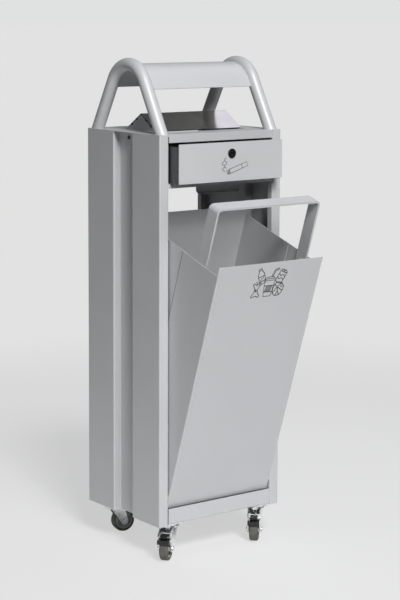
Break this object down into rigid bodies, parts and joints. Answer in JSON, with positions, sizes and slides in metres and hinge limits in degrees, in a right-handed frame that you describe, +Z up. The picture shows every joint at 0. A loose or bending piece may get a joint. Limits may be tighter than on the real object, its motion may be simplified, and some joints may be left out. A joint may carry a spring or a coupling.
{
  "type": "mobile litter bin and ashtray station",
  "caption": "Free-standing sheet-metal litter station on casters with a tilting bin, a lockable ash drawer, a stub-out ridge and tube hoops under an arched canopy.",
  "frame": {"origin": "centre of the bounding box's base, on the floor, with the bin open as in the picture", "axes": "+X to the right seen from the front, +Y to the rear, +Z up"},
  "size_m": [0.3314, 0.4398, 1.0519],
  "materials": {
    "powder_coat": "silver-grey powder coat, satin",
    "stainless": "polished stainless sheet",
    "fastener_steel": "bright zinc-plated steel",
    "drawer_steel": "dull grey sheet steel",
    "black_screw": "blackened steel screws",
    "lock_black": "black lock moulding",
    "buffer_rubber": "black rubber",
    "nylon": "natural nylon",
    "zinc_plate": "bright zinc-plated pressings",
    "wheel_grey": "grey wheel moulding",
    "tyre_rubber": "dark grey rubber tread",
    "brake_black": "black brake moulding"
  },
  "bodies": {
    "column": {"left_side_panel": "powder_coat", "right_side_panel": "powder_coat", "top_deck": "powder_coat", "ash_ridge": "stainless", "deck_screws": "black_screw", "left_hoop": "powder_coat", "right_hoop": "powder_coat", "canopy": "powder_coat", "base_tray": "powder_coat", "rest_buffers": "buffer_rubber", "drawer_shelf": "powder_coat", "handle_stop": "powder_coat", "pivot_plates": "fastener_steel", "pivot_bolts": "fastener_steel", "pivot_nuts": "fastener_steel", "friction_washers": "nylon", "caster_kingpins": "fastener_steel", "caster_bolts": "fastener_steel", "front_left_caster_plate": "zinc_plate", "front_right_caster_plate": "zinc_plate", "rear_left_caster_plate": "zinc_plate", "rear_right_caster_plate": "zinc_plate"},
    "bin": {"bin_front_shell": "powder_coat", "bin_rear_shell": "powder_coat", "bin_floor": "powder_coat", "bin_handle": "powder_coat", "handle_rivets": "powder_coat", "stop_studs": "fastener_steel", "pivot_bushes": "nylon"},
    "drawer": {"drawer_box": "drawer_steel", "drawer_front": "powder_coat", "lock_body": "lock_black", "lock_nut": "fastener_steel"},
    "lock": {"lock_core": "lock_black", "lock_cam": "fastener_steel", "cam_screw": "fastener_steel"},
    "front_left_caster": {"front_left_fork": "zinc_plate", "front_left_axle": "fastener_steel", "front_left_brake_pin": "fastener_steel"},
    "front_left_wheel": {"front_left_hub": "wheel_grey", "front_left_tyre": "tyre_rubber"},
    "front_left_brake": {"front_left_brake_lever": "brake_black"},
    "front_right_caster": {"front_right_fork": "zinc_plate", "front_right_axle": "fastener_steel", "front_right_brake_pin": "fastener_steel"},
    "front_right_wheel": {"front_right_hub": "wheel_grey", "front_right_tyre": "tyre_rubber"},
    "front_right_brake": {"front_right_brake_lever": "brake_black"},
    "rear_left_caster": {"rear_left_fork": "zinc_plate", "rear_left_axle": "fastener_steel"},
    "rear_left_wheel": {"rear_left_hub": "wheel_grey", "rear_left_tyre": "tyre_rubber"},
    "rear_right_caster": {"rear_right_fork": "zinc_plate", "rear_right_axle": "fastener_steel"},
    "rear_right_wheel": {"rear_right_hub": "wheel_grey", "rear_right_tyre": "tyre_rubber"}
  },
  "joints": [
    {"name": "bin_tilt", "type": "hinge", "parent": "column", "child": "bin", "pos_m": [0, -0.0387, 0.1346], "axis": [1, 0, 0], "range_deg": [-18.67, 0]},
    {"name": "drawer_slide", "type": "slide", "parent": "column", "child": "drawer", "axis": [0, -1, 0], "range_m": [-0.034, 0.15]},
    {"name": "lock_turn", "type": "hinge", "parent": "drawer", "child": "lock", "pos_m": [0, -0.0821, 0.8558], "axis": [0, -1, 0], "range_deg": [0, 90]},
    {"name": "front_left_swivel", "type": "hinge", "parent": "column", "child": "front_left_caster", "pos_m": [-0.117, -0.0231, 0.0691], "axis": [0, 0, 1], "continuous": true},
    {"name": "front_left_spin", "type": "hinge", "parent": "front_left_caster", "child": "front_left_wheel", "pos_m": [-0.13736, -0.04006, 0.025], "axis": [0.6401, -0.7683, 0], "continuous": true},
    {"name": "front_left_brake_press", "type": "hinge", "parent": "front_left_caster", "child": "front_left_brake", "pos_m": [-0.1476, -0.04859, 0.05232], "axis": [0.6401, -0.7683, 0], "range_deg": [0, 6]},
    {"name": "front_right_swivel", "type": "hinge", "parent": "column", "child": "front_right_caster", "pos_m": [0.117, -0.0231, 0.0691], "axis": [0, 0, 1], "continuous": true},
    {"name": "front_right_spin", "type": "hinge", "parent": "front_right_caster", "child": "front_right_wheel", "pos_m": [0.09879, -0.04235, 0.025], "axis": [0.7266, -0.6871, 0], "continuous": true},
    {"name": "front_right_brake_press", "type": "hinge", "parent": "front_right_caster", "child": "front_right_brake", "pos_m": [0.08964, -0.05204, 0.05232], "axis": [0.7266, -0.6871, 0], "range_deg": [0, 6]},
    {"name": "rear_left_swivel", "type": "hinge", "parent": "column", "child": "rear_left_caster", "pos_m": [-0.117, 0.1949, 0.0691], "axis": [0, 0, 1], "continuous": true},
    {"name": "rear_left_spin", "type": "hinge", "parent": "rear_left_caster", "child": "rear_left_wheel", "pos_m": [-0.09129, 0.18849, 0.025], "axis": [0.2419, 0.9703, 0], "continuous": true},
    {"name": "rear_right_swivel", "type": "hinge", "parent": "column", "child": "rear_right_caster", "pos_m": [0.117, 0.1949, 0.0691], "axis": [0, 0, 1], "continuous": true},
    {"name": "rear_right_spin", "type": "hinge", "parent": "rear_right_caster", "child": "rear_right_wheel", "pos_m": [0.14051, 0.18266, 0.025], "axis": [0.4617, 0.887, 0], "continuous": true}
  ]
}
